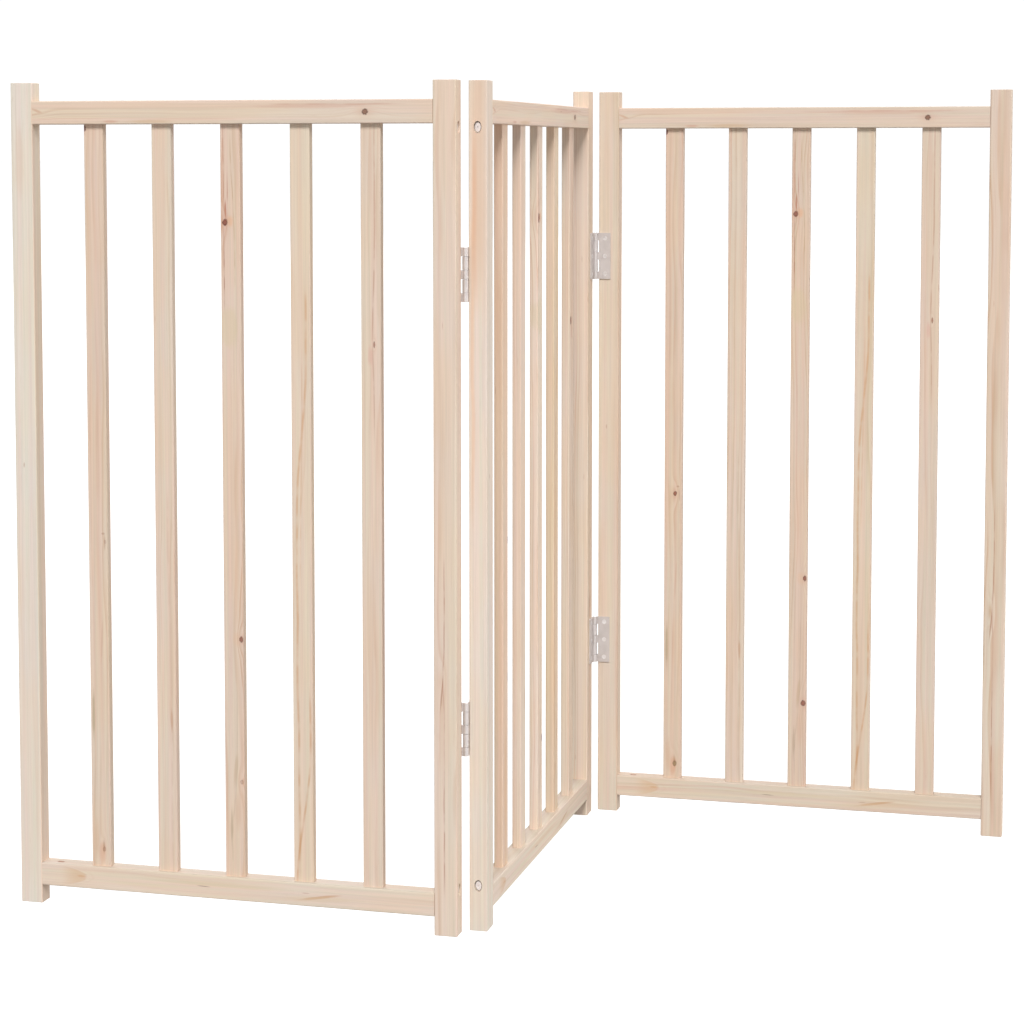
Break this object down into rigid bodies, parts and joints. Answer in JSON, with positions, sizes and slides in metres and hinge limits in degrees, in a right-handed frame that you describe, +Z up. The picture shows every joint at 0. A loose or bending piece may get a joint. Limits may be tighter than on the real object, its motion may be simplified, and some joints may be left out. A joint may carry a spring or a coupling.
{
  "type": "pet gate",
  "caption": "Freestanding folding pet gate: slatted wooden panels in a zigzag, joined by small steel butt hinges, with posts that reach the floor.",
  "frame": {"origin": "on the floor, under the centre of the bounding box of the gate as it stands in a zigzag", "axes": "+X along the two outer panels, +Y along the middle panel towards the right panel, +Z up; the front of the gate faces -Y"},
  "size_m": [1.0486, 0.5606, 0.914],
  "materials": {
    "fir_wood": "untreated pale softwood, straight grain, sanded matte",
    "dowel_wood": "plain hardwood dowel",
    "hinge_steel": "bright zinc plated pressed steel",
    "screw_steel": "bright zinc plated",
    "plug_plastic": "white moulded plastic, satin"
  },
  "bodies": {
    "left_panel": {"left_panel_left_post": "fir_wood", "left_panel_right_post": "fir_wood", "left_panel_top_rail": "fir_wood", "left_panel_bottom_rail": "fir_wood", "left_panel_slat_1": "fir_wood", "left_panel_slat_2": "fir_wood", "left_panel_slat_3": "fir_wood", "left_panel_slat_4": "fir_wood", "left_panel_slat_5": "fir_wood", "left_panel_corner_screws": "screw_steel", "left_panel_corner_plugs": "plug_plastic", "left_panel_dowels": "dowel_wood", "left_lower_hinge_leaf_outer": "hinge_steel", "left_lower_hinge_pin": "hinge_steel", "left_lower_hinge_screws_outer": "screw_steel", "left_upper_hinge_leaf_outer": "hinge_steel", "left_upper_hinge_pin": "hinge_steel", "left_upper_hinge_screws_outer": "screw_steel"},
    "middle_panel": {"middle_panel_left_post": "fir_wood", "middle_panel_right_post": "fir_wood", "middle_panel_top_rail": "fir_wood", "middle_panel_bottom_rail": "fir_wood", "middle_panel_slat_1": "fir_wood", "middle_panel_slat_2": "fir_wood", "middle_panel_slat_3": "fir_wood", "middle_panel_slat_4": "fir_wood", "middle_panel_slat_5": "fir_wood", "middle_panel_corner_screws": "screw_steel", "middle_panel_corner_plugs": "plug_plastic", "middle_panel_dowels": "dowel_wood", "left_lower_hinge_leaf_middle": "hinge_steel", "left_lower_hinge_screws_middle": "screw_steel", "left_upper_hinge_leaf_middle": "hinge_steel", "left_upper_hinge_screws_middle": "screw_steel", "right_lower_hinge_leaf_middle": "hinge_steel", "right_lower_hinge_screws_middle": "screw_steel", "right_upper_hinge_leaf_middle": "hinge_steel", "right_upper_hinge_screws_middle": "screw_steel"},
    "right_panel": {"right_panel_left_post": "fir_wood", "right_panel_right_post": "fir_wood", "right_panel_top_rail": "fir_wood", "right_panel_bottom_rail": "fir_wood", "right_panel_slat_1": "fir_wood", "right_panel_slat_2": "fir_wood", "right_panel_slat_3": "fir_wood", "right_panel_slat_4": "fir_wood", "right_panel_slat_5": "fir_wood", "right_panel_corner_screws": "screw_steel", "right_panel_corner_plugs": "plug_plastic", "right_panel_dowels": "dowel_wood", "right_lower_hinge_leaf_outer": "hinge_steel", "right_lower_hinge_pin": "hinge_steel", "right_lower_hinge_screws_outer": "screw_steel", "right_upper_hinge_leaf_outer": "hinge_steel", "right_upper_hinge_pin": "hinge_steel", "right_upper_hinge_screws_outer": "screw_steel"}
  },
  "joints": [
    {"name": "left_fold", "type": "hinge", "parent": "middle_panel", "child": "left_panel", "pos_m": [-0.0124, -0.2579, 0.457], "axis": [0, 0, 1], "range_deg": [-90, 100]},
    {"name": "right_fold", "type": "hinge", "parent": "middle_panel", "child": "right_panel", "pos_m": [0.0124, 0.2579, 0.457], "axis": [0, 0, 1], "range_deg": [-90, 100]}
  ]
}
